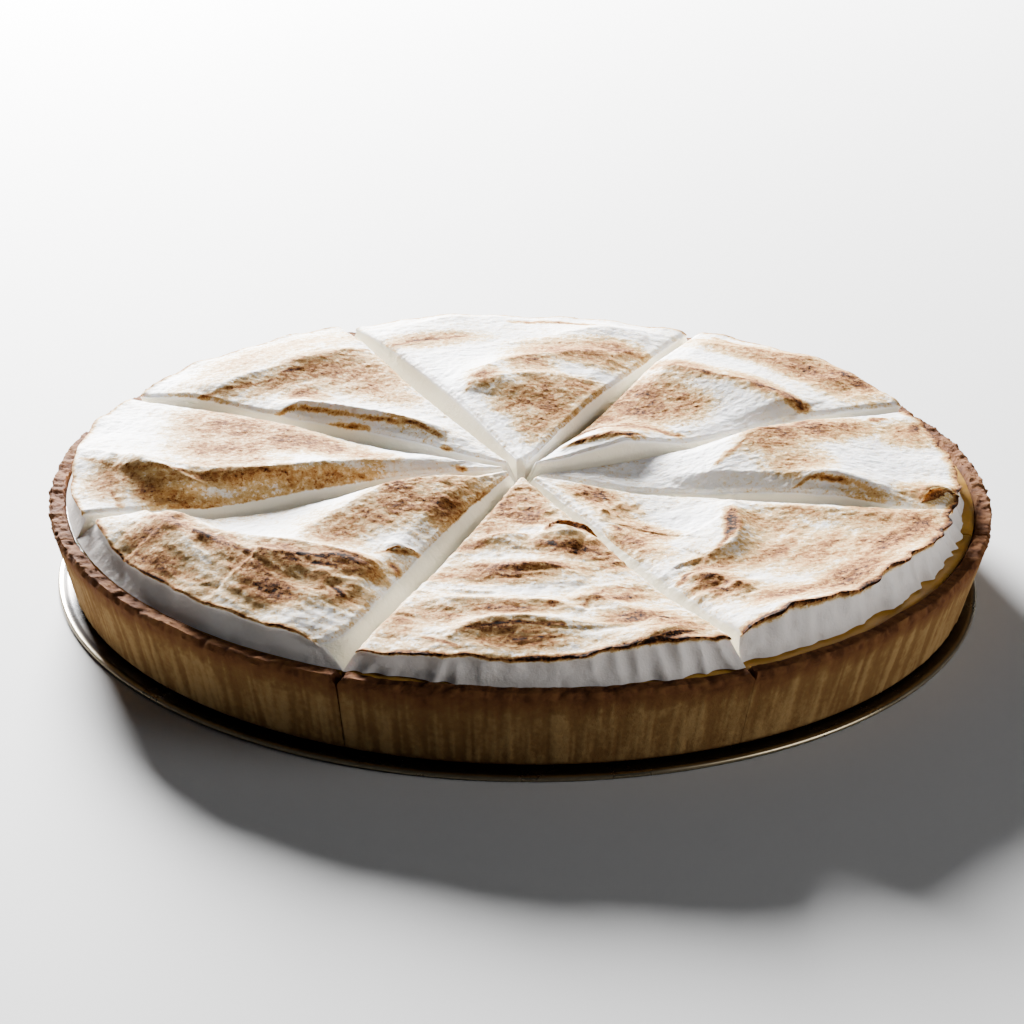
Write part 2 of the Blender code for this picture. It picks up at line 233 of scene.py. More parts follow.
# %% Strokes of each portion
STROKES = {
    1: (
        (((86, 64), (87, 57), (89, 48), (92, 40), (94, 32), (96, 27)), 4.6, 10, 18),
        (((114, 66), (116, 60), (122, 50), (127, 42), (128, 32)), 2.4, 8, 16),
        (((16, 50), (22, 45), (32, 36), (42, 29), (50, 26)), 2.4, 14, 4),
    ),
    2: (
        (((54, 109), (62, 103), (70, 98), (78, 89), (86, 80), (94, 73)), 4.2, 9, 17),
        (((56, 104), (59, 95), (63, 85), (66, 76)), 2.2, 6, 16),
        (((118, 111), (124, 101), (125, 92)), 1.6, 6, 12),
        (((106, 84), (114, 77), (119, 70)), 3.0, 8, 14),
    ),
    3: (
        (((110, 153), (107, 145), (104, 136), (104, 128), (106, 119)), 3.2, 16, 8),
        (((86, 154), (78, 149), (60, 147), (45, 143), (31, 136)), 5.0, 6, 16),
        (((68, 151), (60, 150), (51, 149)), 1.4, 3, 4),
    ),
    4: (
        (
            ((134, 178), (117, 183), (100, 187.5), (83, 190), (67, 191.5), (51, 192), (35, 190), (19, 180)),
            5.4, 32, 9,
        ),
        (((117, 184), (109, 188), (99, 192), (90, 196)), 3.2, 4, 11),
        (((126, 183), (118, 186.5), (101, 189.5), (79, 191.5), (58, 192.5), (44, 194)), 1.0, 9, 2.5),
    ),
    5: (
        (((112, 203), (106, 208), (104, 214), (98, 221), (91, 229), (87, 238), (87, 245)), 5.8, 6, 28),
        (((92, 224), (78, 221), (63, 218), (45, 213), (30, 211), (17, 212)), 5.6, 13, 26),
        (((72, 238), (70, 245), (75, 250)), 1.8, 3, 7),
        (((117, 206), (112, 212), (109, 218), (105, 225), (100, 230), (92, 236), (90, 242)), 1.5, 3, 9),
        (((105, 241), (107, 244)), 1.2, 3, 5),
    ),
    6: (
        (((45, 279), (50, 286), (53, 291)), 3.0, 3, 10),
        (((57, 256), (52, 264), (51, 272)), 2.0, 3, 9),
        (((76, 262), (72, 270), (73, 277), (80, 284)), 3.0, 7, 12),
        (((97, 257), (97, 268), (98, 275), (103, 280)), 2.8, 5, 8),
        (((121, 261), (112, 265), (110, 272), (112, 279)), 3.2, 5, 9),
        (((95, 279), (95, 283), (103, 286), (112, 289)), 2.2, 5, 6),
        (((131, 284), (125, 287), (122, 291)), 2.0, 8, 4),
    ),
    7: (
        (((64, 341), (70, 333), (76, 326), (80, 319), (80, 311)), 3.8, 4, 18),
        (((36, 318), (55, 322), (66, 321)), -2.4, 14, 14),
        (((62, 340), (90, 342), (112, 344)), 2.4, 12, 10),
        (((30, 301), (60, 300), (95, 300)), 1.4, 9, 9),
        (((90, 301), (92, 304), (96, 306)), 2.4, 4, 5),
        (((101, 305), (107, 307)), 1.8, 4, 5),
        (((36, 309), (38, 313)), 1.4, 3, 3),
    ),
    8: (
        (((50, 352), (58, 1), (65, 9), (74, 17), (86, 22)), 4.8, 15, 30),
        (((24, 356), (44, 8)), -1.0, 10, 12),
        (((82, 350), (90, 353.5), (98, 352.5), (109, 351)), 3.0, 8, 4),
        (((119, 354), (128, 353)), 2.4, 5, 5),
    ),
}
print("strokes", sum(map(len, STROKES.values())))

# %% [markdown]
# The torch browned each portion a little all over. The flame was also held over some places for
# longer, and hollows stayed white. Each patch below is such a place, given by its radius and
# angle, its half sizes outwards and around, and how brown it became. A value below zero keeps
# that share of the browning away.

# %% Torched patches of each portion
BASE_TOAST = {1: 0.03, 2: 0.03, 3: 0.04, 4: 0.03, 5: 0.07, 6: 0.09, 7: 0.05, 8: 0.03}
PATCHES = {
    1: (
        (66, 57, 12, 12, 0.60), (59, 51, 10, 9, 0.56), (70, 44, 8, 10, 0.42), (47, 56, 9, 6, 0.45),
        (45, 44, 9, 6, 0.42), (90, 55, 5, 12, 0.46), (95, 40, 5, 12, 0.36), (121, 40, 8, 20, 0.60),
        (118, 50, 6, 20, 0.46), (127, 33, 6, 8, 0.62), (76, 31, 9, 12, -1.0), (107, 52, 5, 20, -0.7),
        (28, 50, 9, 5, -0.6),
    ),
    2: (
        (90, 80, 9, 16, 0.55), (98, 73, 6, 9, 0.58), (74, 88, 8, 7, 0.40), (53, 80, 10, 10, 0.38),
        (60, 73, 7, 6, 0.48), (42, 78, 9, 7, 0.42), (30, 82, 8, 5, 0.45), (46, 91, 8, 7, 0.42),
        (43, 97, 6, 4, 0.4), (60, 102, 6, 5, 0.38), (105, 107, 6, 14, 0.32), (72, 76, 5, 9, -0.6),
        (90, 100, 10, 12, -0.6), (70, 110, 20, 5, -0.8), (122, 90, 8, 40, -0.2),
    ),
    3: (
        (97, 130, 8, 14, 0.44), (88, 128, 8, 14, 0.38), (79, 127, 8, 9, 0.38), (66, 127, 8, 8, 0.28),
        (104, 149, 4, 10, 0.12), (86, 142, 6, 6, 0.42), (97, 140, 5, 16, 0.28), (118, 136, 9, 40, 0.18),
        (60, 134, 12, 7, -0.6), (66, 153.5, 20, 3, -0.5), (129, 150, 7, 12, -0.7), (44, 144, 14, 4, 0.12),
    ),
    4: (
        (88, 165, 20, 10, 0.54), (68, 170, 14, 8, 0.58), (56, 174, 9, 6, 0.50), (88, 177, 12, 8, 0.54),
        (102, 163, 12, 9, 0.34), (46, 180, 8, 6, 0.42), (86, 186, 14, 5, 0.34), (104, 195.5, 8, 5, 0.36),
        (111, 193, 6, 5, 0.40), (95, 198, 6, 4, 0.46), (75, 196.5, 12, 3, 0.22), (90, 191.5, 18, 3, 0.44),
        (62, 193.5, 15, 3, 0.42), (121, 190, 9, 9, 0.32), (120, 168, 14, 15, -0.7), (34, 172, 12, 6, -0.7),
    ),
    5: (
        (41, 218, 9, 8, 0.58), (51, 226, 9, 8, 0.56), (41, 237, 9, 7, 0.50), (26, 234, 9, 7, 0.34),
        (64, 227, 9, 8, 0.46), (76, 227, 9, 8, 0.40), (36, 246, 8, 3, 0.10), (112, 209, 6, 8, 0.60),
        (108, 218, 5, 9, 0.62), (100, 229, 6, 9, 0.66), (91, 238, 6, 9, 0.60), (107, 243, 6, 6, 0.42),
        (112, 230, 7, 12, 0.60), (126, 219, 6, 18, 0.56), (116, 234, 7, 10, 0.60), (105, 239, 5, 7, 0.42),
        (121, 210, 6, 7, 0.55), (93, 212, 12, 8, -1.0), (62, 208, 18, 5, -0.9), (68, 238, 7, 7, -0.7),
        (119, 242, 6, 8, -0.5), (86, 222, 6, 8, -0.4),
    ),
    6: (
        (30, 262, 7, 5, 0.68), (33, 274, 8, 6, 0.60), (20, 272, 7, 6, 0.5), (45, 260, 6, 6, 0.45),
        (75, 268, 6, 13, 0.66), (80, 258, 4, 8, 0.58), (73, 279, 5, 8, 0.58), (61, 286, 5, 10, 0.66),
        (68, 292, 6, 5, 0.66), (57, 277, 4, 5, 0.46), (58, 256, 4, 5, 0.50), (102, 268, 5, 14, 0.50),
        (106, 258, 6, 8, 0.52), (115, 268, 4, 12, 0.58), (121, 270, 4, 12, 0.50), (112, 254, 9, 6, 0.45),
        (110, 287, 5, 8, 0.64), (93, 286, 5, 10, 0.58), (119, 291, 6, 8, 0.50), (127, 289, 4, 9, 0.50),
        (86, 274, 4, 18, -0.7), (66, 268, 4, 9, -0.6), (108, 277, 3, 8, -0.5), (92, 262, 4, 9, -0.3),
    ),
    7: (
        (26, 326, 8, 5, 0.55), (37, 320, 8, 6, 0.46), (48, 314, 8, 6, 0.46), (60, 304, 9, 5, 0.58),
        (57, 314, 6, 5, 0.42), (75, 332, 5, 5, 0.40), (84, 332, 8, 8, 0.38), (90, 322, 8, 12, 0.42),
        (85, 311, 5, 7, 0.46), (98, 304, 9, 7, 0.50), (88, 340, 10, 5, 0.40), (116, 332, 7, 11, 0.84),
        (121, 320, 7, 16, 0.66), (117, 309, 7, 10, 0.52), (122, 340, 7, 9, 0.62), (110, 344, 10, 4, 0.44),
        (103, 326, 9, 14, 0.44), (110, 340, 8, 8, 0.42), (57, 326, 16, 9, -0.9), (107, 313, 4, 6, -0.3),
    ),
    8: (
        (80, 14, 8, 8, 0.52), (92, 17, 9, 8, 0.52), (76, 10, 8, 7, 0.48), (82, 1, 9, 8, 0.32),
        (103, 17, 9, 6, 0.42), (104, 350, 12, 4, 0.10), (121, 14, 7, 8, 0.40),
        (120, 353, 8, 6, 0.26), (52, 12, 14, 8, -0.6), (106, 3, 9, 10, -0.7), (124, 5, 5, 8, -0.4),
    ),
}
print("patches", sum(map(len, PATCHES.values())))

# %% [markdown]
# Where the flame touched a crest or a curled edge, it left a dark line. Each scorch is a curve
# like a stroke's, with its half width in millimetres and how burnt it is, from 0.2 for tan to 1
# for black. The lines are drawn apart from the strokes, because the flame didn't follow each
# crest from end to end.

# %% Scorched lines of each portion
SCORCHES = {
    1: (
        (((87, 62), (87, 54), (89, 46), (93, 40), (95, 35), (97, 29)), 1.1, 0.55),
        (((93, 38), (96, 33), (98, 28)), 2.4, 0.95),
        (((30, 60), (39, 54), (48, 40), (55, 30)), 1.4, 0.72),
        (((20, 47), (32, 36.5), (42, 29.5)), 1.5, 0.75),
        (((124, 38), (129, 33)), 2.0, 0.85),
        (((126, 60), (122, 50), (120, 44)), 1.2, 0.40),
        (((64, 61), (68, 57)), 1.4, 0.7),
    ),
    2: (
        (((54, 109), (58, 104), (64, 98)), 1.3, 0.42),
        (((103, 114), (105, 107), (107, 100)), 1.1, 0.80),
        (((83, 80), (96, 76), (100, 70), (97, 67)), 1.2, 0.5),
        (((44, 97), (48, 91), (47, 86)), 1.2, 0.45),
        (((121, 92), (122, 84), (118, 76)), 1.2, 0.5),
        (((74, 89), (76, 86)), 1.6, 0.75),
    ),
    3: (
        (((111, 154), (105, 150), (102, 146)), 1.3, 0.62),
        (((102, 147), (100, 142), (100, 136), (101, 130), (104, 119)), 0.8, 0.50),
        (((100, 139), (100, 135)), 1.0, 0.85),
        (((86, 154.5), (79, 151), (69, 150), (58, 149)), 0.7, 0.38),
        (((58, 149), (46, 146), (38, 144), (31, 142)), 0.8, 0.54),
        (((68, 153.5), (60, 152.5), (53, 152)), 0.8, 0.42),
        (((25, 151), (27, 151)), 1.3, 0.75),
    ),
    4: (
        (((130, 182), (118, 187), (101, 190), (79, 192), (58, 193), (46, 195)), 0.9, 0.50),
        (((100, 191), (84, 192.5), (68, 193.5)), 1.2, 0.34),
        (((109, 194), (102, 197), (93, 198)), 1.5, 0.44),
        (((112, 192), (106, 195)), 1.3, 0.40),
        (((20, 186), (17, 190)), 1.2, 0.5),
        (((127, 188), (122, 193), (120, 197)), 1.1, 0.5),
    ),
    5: (
        (((117, 205), (114, 209), (111, 213)), 2.0, 0.75),
        (((111, 214), (109, 219)), 1.8, 1.0),
        (((109, 219), (106, 225), (101, 229)), 0.9, 0.85),
        (((101, 229), (96, 233), (91, 237), (89.5, 242)), 1.6, 1.05),
        (((102, 231), (99, 235), (95, 238)), 0.9, 0.9),
        (((78, 239), (73, 242), (69, 246)), 0.9, 0.62),
        (((81, 244), (83, 246)), 1.3, 0.95),
        (((105, 241), (107, 244)), 1.2, 1.0),
        (((14, 214), (24, 207), (34, 208), (46, 213)), 1.1, 0.6),
        (((26, 244), (30, 245)), 1.0, 0.75),
        (((127, 212), (126, 219), (124, 225)), 1.0, 0.55),
    ),
    6: (
        (((62, 254), (56, 257), (52, 264), (51, 272)), 0.9, 0.55),
        (((48, 280), (43, 286), (46, 291), (52, 295)), 1.1, 0.85),
        (((56, 278), (59, 280)), 1.2, 1.0),
        (((60, 284), (62, 288), (66, 293)), 1.4, 0.66),
        (((82, 257), (75, 262), (73, 270), (73, 277), (75, 283)), 1.4, 0.44),
        (((102, 263), (102, 268), (103, 273)), 1.2, 0.76),
        (((101, 274), (99, 276)), 1.2, 1.0),
        (((119, 262), (115, 265), (113, 271), (114, 276)), 0.9, 0.92),
        (((124, 265), (120, 270), (119, 276)), 1.1, 0.66),
        (((100, 280), (93, 283), (88, 287), (90, 292)), 1.0, 0.66),
        (((108, 284), (110, 288)), 1.1, 0.95),
        (((112, 289), (115, 292)), 1.0, 1.0),
        (((130, 283), (128, 287), (126, 292)), 1.3, 0.95),
        (((125, 263), (121, 258)), 1.0, 0.55),
    ),
    7: (
        (((68, 333), (73, 327), (77, 321)), 1.7, 1.05),
        (((77, 321), (80, 314)), 0.9, 0.55),
        (((46, 306), (50, 305)), 1.3, 0.95),
        (((50, 317), (54, 313)), 1.5, 0.7),
        (((91, 299.5), (88, 302), (88, 305)), 1.0, 0.95),
        (((90, 303), (86, 306), (83, 309)), 1.6, 0.5),
        (((100, 303), (104, 304), (107, 305)), 1.1, 0.95),
        (((113, 332), (117, 333), (121, 337)), 1.2, 0.75),
        (((117, 322), (122, 317), (120, 312)), 1.2, 0.75),
        (((114, 311), (120, 305)), 1.2, 0.6),
        (((20, 338), (28, 331), (34, 323)), 1.4, 0.6),
        (((122, 342), (118, 345)), 1.2, 0.6),
    ),
    8: (
        (((81, 350.5), (86, 352.5), (92, 352.5), (98, 352)), 0.7, 0.50),
        (((98, 352), (105, 350.5), (112, 350)), 1.0, 0.22),
        (((114, 20), (118, 20)), 1.3, 0.95),
        (((123, 14), (127, 17)), 1.9, 1.0),
        (((103, 17), (105, 19)), 1.4, 0.7),
        (((128, 16), (129, 10)), 1.3, 0.6),
        (((58, 1), (65, 8), (74, 15), (86, 21)), 1.0, 0.40),
    ),
}
print("scorched lines", sum(map(len, SCORCHES.values())))

# %% [markdown]
# To lift the foam by a stroke, each point has to know how far it lies from the stroke's curve,
# and on which side. The curve is cut into short straight runs, and the nearest of them answers
# both. The height then falls away from the crest, fast on the steep side and slowly on the other.

# %% Shape of the strokes
CREST_POWER = 1.25


def stroke_curve(points, samples=14):
    """A smooth curve through a stroke's points, in mm."""
    corners = [
        np.array((radius * math.cos(math.radians(angle)), radius * math.sin(math.radians(angle))))
        for radius, angle in points
    ]
    corners = [2.0 * corners[0] - corners[1], *corners, 2.0 * corners[-1] - corners[-2]]
    curve = []
    for before, start, end, after in zip(corners, corners[1:], corners[2:], corners[3:]):
        for step in range(samples):
            t = step / samples
            linear = end - before
            square = 2.0 * before - 5.0 * start + 4.0 * end - after
            cubic = 3.0 * start - before - 3.0 * end + after
            curve.append(0.5 * (2.0 * start + linear * t + square * t**2 + cubic * t**3))
    curve.append(corners[-2])
    return np.array(curve)


def near_curve(x, y, curve):
    """Distance to a curve, on which side of it, and how far along it, for each point."""
    best = np.full(len(x), 1e9)
    side = np.zeros(len(x))
    reach = np.zeros(len(x))
    for number, (start, end) in enumerate(zip(curve, curve[1:])):
        run = end - start
        offset_x = x - start[0]
        offset_y = y - start[1]
        along = np.clip((offset_x * run[0] + offset_y * run[1]) / (run @ run), 0.0, 1.0)
        away = np.hypot(offset_x - along * run[0], offset_y - along * run[1])
        closer = away < best
        best = np.where(closer, away, best)
        side = np.where(closer, run[0] * offset_y - run[1] * offset_x, side)
        reach = np.where(closer, (number + along) / (len(curve) - 1), reach)
    return best, side > 0.0, reach


def stroke_lift(x, y, spec):
    """Height in mm that one stroke adds at each point."""
    points, height, left_width, right_width = spec
    away, on_left, reach = near_curve(x, y, stroke_curve(points))
    fade = 0.35 + 0.65 * np.sin(math.pi * reach) ** 0.6
    return height * fade * np.exp(-((away / np.where(on_left, left_width, right_width)) ** CREST_POWER))


print("highest stroke", max(spec[1] for specs in STROKES.values() for spec in specs), "mm")


# %% [markdown]
# ## The meringue
# A portion of meringue is a grid that follows the portion's outline. The strokes and a layer
# of fine noise lift it, and its border is drawn down in rings to the curd. Inside the cuts the
# rings slope together, because a wet knife drags the foam with it. Outside, the torched skin
# overhangs the soft wall by about a millimetre and ends in a thin wavy lip. The tables give
# each portion's reach, how far its edge curled, how deeply its wall is folded, how wide each
# cut stands open at its middle and outer end, and the height of its two cut edges.

# %% Outline of a meringue portion
MERINGUE_REACH = (130.5, 128.8, 132.4, 133.0, 129.5, 129.5, 129.5, 129.5)
MERINGUE_TIP_RADIUS = 6.0
SKIN_RADIUS = 130.0
MOUTH_REACH = 129.5
FOOT_REACH = (131.6, 130.4, 134.2, 134.6, 134.5, 133.6, 131.0, 131.2)
UNDERCUT = 1.5
LIP_THICKNESS = 0.10
EDGE_WAVE = 0.9
EDGE_LIFT = 0.5
CURLED = {1: 0.5, 2: 0.3, 3: 0.3, 4: 0.2, 5: 0.3, 6: 0.6, 7: 1.2, 8: 0.9}
WALL_FOLDS = {1: 0.5, 2: 0.5, 3: 0.5, 4: 0.12, 5: 0.12, 6: 1.7, 7: 1.5, 8: 0.9}
MERINGUE_CUT_GAP = 0.06
MOUTH_TIP = 1.0
CORNER_ROUNDING = 7.0
CUT_MOUTHS = (
    ((1.4, 1.6), (1.4, 1.6)),
    ((1.2, 1.6), (1.2, 1.6)),
    ((1.7, 1.9), (1.7, 1.9)),
    ((1.7, 1.8), (1.7, 1.8)),
    ((2.0, 1.9), (2.4, 1.9)),
    ((3.2, 3.0), (1.4, 1.8)),
    ((1.0, 2.0), (1.3, 2.0)),
    ((1.2, 1.8), (1.5, 2.4)),
)
SIDE_RADII = (15, 35, 55, 75, 95, 115, 131)
SIDE_HEIGHTS = {
    1: ((6.0, 8.3, 4.4, 4.5, 6.5, 6.9, 6.3), (4.0, 3.3, 4.4, 6.0, 7.5, 6.0, 5.4)),
    2: ((5.0, 6.5, 7.5, 6.5, 6.0, 5.8, 5.4), (6.0, 7.5, 8.0, 8.0, 8.0, 7.2, 5.6)),
    3: ((5.0, 5.5, 5.5, 5.8, 6.6, 6.6, 5.0), (5.5, 6.0, 5.6, 5.3, 6.2, 6.8, 4.6)),
    4: ((4.5, 3.0, 4.0, 6.0, 6.0, 4.8, 4.0), (5.5, 5.6, 4.8, 3.6, 2.4, 5.0, 6.2)),
    5: ((5.0, 5.0, 4.0, 2.2, 1.8, 6.8, 5.0), (5.0, 5.0, 4.6, 4.0, 4.2, 4.8, 4.4)),
    6: ((4.3, 4.1, 3.9, 3.6, 4.6, 5.0, 4.6), (4.2, 4.2, 4.6, 3.5, 3.8, 6.0, 7.0)),
    7: ((3.8, 3.6, 2.6, 2.5, 3.8, 5.5, 7.0), (3.5, 1.8, 2.6, 3.4, 4.5, 5.5, 6.5)),
    8: ((2.5, 0.9, 1.6, 4.4, 5.8, 4.4, 5.0), (3.0, 3.3, 3.9, 7.0, 7.8, 6.0, 5.2)),
}
EDGE_RISE = {
    5: (0.0, -0.5, -2.5, -3.0, -2.5, -1.5, -1.5, -1.0, -1.0),
    6: (-0.5, -0.5, -0.8, -0.5, -1.0, 0.0, 0.5, 1.5, 0.0),
    7: (0.3, 4.8, 4.2, 2.3, 3.5, 3.8, 1.5, 0.0, 0.7),
}
ROWS, COLUMNS, RINGS = 216, 144, 16


def edge_wave(portion, angle):
    """The skin's edge: long soft waves, and short ones where it curled most."""
    long_waves = ((7, 0.9, 0.4), (17, 2.2, 0.4), (29, 5.0, 0.3), (43, 1.7, 0.2))
    short_waves = ((61, 0.4, 0.5), (89, 3.3, 0.35), (131, 1.0, 0.15))
    return wave_sum(angle, long_waves) + CURLED[portion] * wave_sum(angle, short_waves)


def cut_mouth(cut, face, radius):
    """Half the width of a cut at its top, for the face before (0) or after (1) the cut."""
    middle, edge = CUT_MOUTHS[cut % len(CUT_MOUTHS)][face]
    share = np.clip(radius / MOUTH_REACH, 0.0, 1.0)
    corner = CORNER_ROUNDING * share**24 if (cut, face) == (5, 0) else 0.0
    return MOUTH_TIP + (edge - MOUTH_TIP) * share**2 + middle * np.sin(math.pi * share) ** 0.8 + corner


def meringue_place(portion, outward, across, depth):
    """Radius and angle of points: shares outward and across, and depth from 0, top, to 1, foot."""
    start, end = portion_angles(portion)
    rough_angle = start + across * (end - start)
    reach = MERINGUE_REACH[portion - 1]
    top_edge = reach + EDGE_WAVE * edge_wave(portion, rough_angle)
    fold_place = noise_places(SKIN_RADIUS * rough_angle, 3.0 * depth)
    lobes = 0.7 - 1.6 * np.abs(value_noise(fold_place, 6.0, 60)) + 0.4 * value_noise(fold_place, 3.0, 61)
    folds = WALL_FOLDS[portion] * lobes * (0.3 + 0.7 * depth)
    below_lip = smooth_step(LIP_THICKNESS * 0.6, LIP_THICKNESS * 2.2, depth)
    undercut = UNDERCUT * below_lip * (1.0 - depth) ** 0.7
    edge = top_edge + (FOOT_REACH[portion - 1] - top_edge) * depth - undercut + below_lip * folds
    tip = MERINGUE_TIP_RADIUS + (TIP_RADIUS - MERINGUE_TIP_RADIUS) * depth
    radius = tip + outward * (edge - tip)
    closing = 1.0 - depth**0.85
    gaps = [
        MERINGUE_CUT_GAP + (cut_mouth(cut, face, radius) - MERINGUE_CUT_GAP) * closing
        for cut, face in ((portion - 1, 1), (portion, 0))
    ]
    return radius, angle_across(portion, across, radius, *gaps)


# %% [markdown]
# The top starts as a plain sheet, ruled from one cut edge to the other, with its torched outer
# edge raised. The strokes, the lumps and the crumpled skin are added to it. The browning is
# worked out for the same points from patches, scorched lines and the burnt edge, and kept on
# the mesh, so that it stays on the crests that it belongs to.

# %% Surface of a meringue portion
CRUMPLE = {1: 0.22, 2: 0.28, 3: 0.30, 4: 0.25, 5: 0.30, 6: 0.75, 7: 0.35, 8: 0.16}
WRINKLES = {
    1: ((120, 36, 9, 16, 0.9),),
    2: ((92, 80, 12, 20, 0.4),),
    3: ((90, 138, 7, 10, 0.9), (106, 142, 5, 16, 0.5)),
    4: ((118, 190, 14, 12, 1.1), (100, 197, 8, 7, 0.7)),
    5: ((112, 218, 16, 36, 1.3), (102, 240, 12, 12, 1.0), (36, 228, 16, 14, 0.5)),
    6: (),
    7: ((96, 303, 18, 10, 1.2), (30, 318, 12, 6, 0.8), (122, 318, 6, 24, 0.5)),
    8: ((124, 14, 6, 10, 0.8), (125, 348, 6, 6, 0.6)),
}
EDGE_BURN = {1: 0.60, 2: 0.45, 3: 0.38, 4: 0.40, 5: 0.75, 6: 1.25, 7: 1.55, 8: 1.05}
SCORCH_DEPTH = {1: 0.07, 2: 0.05, 3: 0.05, 4: 0.06, 5: 0.07, 6: 0.09, 7: 0.10, 8: 0.09}


def in_patch(radius, angle, patch_radius, patch_angle, out_size, round_size):
    """A soft oval round a place on the tart, 1 in its middle."""
    around = (angle - math.radians(patch_angle) + math.pi) % (2.0 * math.pi) - math.pi
    away = ((radius - patch_radius) / out_size) ** 2 + (around * patch_radius / round_size) ** 2
    return np.exp(-0.8 * away)


def end_gap(portion, across, radius):
    """Distance in mm from the nearer cut edge."""
    start, end = portion_angles(portion)
    return np.minimum(across, 1.0 - across) * (end - start) * radius


def edge_burn(portion, angle):
    """How dark the edge of the skin is at each angle."""
    around = noise_places(SKIN_RADIUS * angle, 0.0)
    return EDGE_BURN[portion] * (0.80 + 0.40 * layered_noise(around, 7.0, 77, 2))


def ruled_height(portion, radius, across):
    """Height over the rim from one cut's edge to the other's, with the torched edge raised."""
    start, end = (np.interp(radius, SIDE_RADII, heights) for heights in SIDE_HEIGHTS[portion])
    rises = EDGE_RISE.get(portion, (0.0, 0.0))
    rise = np.interp(across, np.linspace(0.0, 1.0, len(rises)), rises)
    share = np.minimum(radius / MERINGUE_REACH[portion - 1], 1.0)
    return start + across * (end - start) + rise * share**8


def near_side(portion, across, radius):
    """How much of a stroke is left near a cut: the knife pressed the foam down there."""
    return 0.25 + 0.75 * smooth_step(0.0, 9.0, end_gap(portion, across, radius))


def patch_toast(portion, radius, angle):
    """How brown the patches leave each point, from 0 to 1."""
    toast = np.full(len(radius), BASE_TOAST[portion])
    kept_white = np.ones(len(radius))
    for *place, strength in PATCHES[portion]:
        share = abs(strength) * in_patch(radius, angle, *place)
        if strength > 0.0:
            toast = np.maximum(toast, share)
        else:
            kept_white *= 1.0 - share
    return toast * kept_white


def scorch_burn(portion, flat):
    """How burnt the scorched lines leave each point; noise makes the lines wander."""
    wander_x = flat[:, 0] + 0.7 * layered_noise(flat, 4.0, 91, 2)
    wander_y = flat[:, 1] + 0.7 * layered_noise(flat, 4.0, 92, 2)
    burn = np.zeros(len(flat))
    for path_points, half_width, strength in SCORCHES[portion]:
        away, _, reach = near_curve(wander_x, wander_y, stroke_curve(path_points))
        ends = 0.55 + 0.45 * np.sin(math.pi * reach) ** 0.5
        line = 0.85 * np.exp(-((away / half_width) ** 2)) + 0.15 * np.exp(-away / (3.0 * half_width))
        burn = np.maximum(burn, strength * ends * line)
    return burn * (0.95 + 0.35 * layered_noise(flat, 3.0, 67, 3))


def meringue_top(portion, outward, across):
    """Points of a portion's top in mm, and how toasted each is."""
    radius, angle = meringue_place(portion, outward, across, np.zeros(len(outward)))
    flat = polar_points(radius, angle, np.zeros(len(radius)))
    height = ruled_height(portion, radius, across)
    for spec in STROKES[portion]:
        height += stroke_lift(flat[:, 0], flat[:, 1], spec) * near_side(portion, across, radius)
    streaks = noise_places(radius * 1.6, angle * 34.0)
    bent = streaks + 3.0 * layered_noise(flat, 14.0, 37, 2)[:, None]
    lumps = 0.25 * layered_noise(flat, 10.0, 11, 2) + 0.25 * layered_noise(bent, 5.0, 23, 3)
    ridges = 0.5 - np.abs(value_noise(bent, 6.0, 29))
    specks = layered_noise(flat, 1.5, 41, 2, 0.7)
    crumple = np.full(len(radius), CRUMPLE[portion])
    for *place, amount in WRINKLES[portion]:
        crumple += amount * in_patch(radius, angle, *place)
    height += crumple * (lumps + 0.4 * ridges) + 0.10 * specks
    drifts = 1.05 + 0.40 * layered_noise(streaks, 7.0, 53, 2) + 0.30 * layered_noise(flat, 3.0, 57, 2)
    wash = np.clip(patch_toast(portion, radius, angle) * drifts, 0.0, 1.0)
    spots = smooth_step(0.10, 0.60, wash - 0.25 + 0.50 * specks + 0.2 * ridges)
    side = end_gap(portion, across, radius)
    height -= 0.8 * np.exp(-((side / 1.0) ** 2))
    height += EDGE_LIFT * np.sin(13.0 * angle + 0.7) * np.sin(31.0 * angle) * outward**12
    rim_gap = (1.0 - outward) * MERINGUE_REACH[portion - 1]
    edge = edge_burn(portion, angle) * np.exp(-rim_gap / (0.8 + 0.5 * CURLED[portion]))
    brown = 0.64 * wash**0.70 + 0.11 * spots * smooth_step(0.08, 0.45, wash)
    brown = np.maximum(np.maximum(brown, scorch_burn(portion, flat)), edge)
    return polar_points(radius, angle, rim_top + height), np.clip(brown, 0.0, 1.0)


# %% [markdown]
# In a few places the torch dried the skin until it peeled and curled up. Each such flap is a flat
# tube that is pinched at both ends: it clings to the foam along its path, and its free side
# stands up. A width below zero puts the free side on the right of the path.

# %% Burnt flaps
FLAPS = {
    5: ((((76, 240), (72, 243), (69, 246)), 1.8, 1.0, 0.45),),
    6: (
        (((48, 280), (43, 286), (46, 291), (52, 295)), 2.2, 1.1, 0.66),
        (((125, 293), (128, 289), (130, 284)), -2.4, 0.8, 0.8),
    ),
    8: ((((119, 349.6), (124, 350.5), (130, 352.5)), 4.4, 2.8, 0.60),),
}
FLAP_TURNS = 12


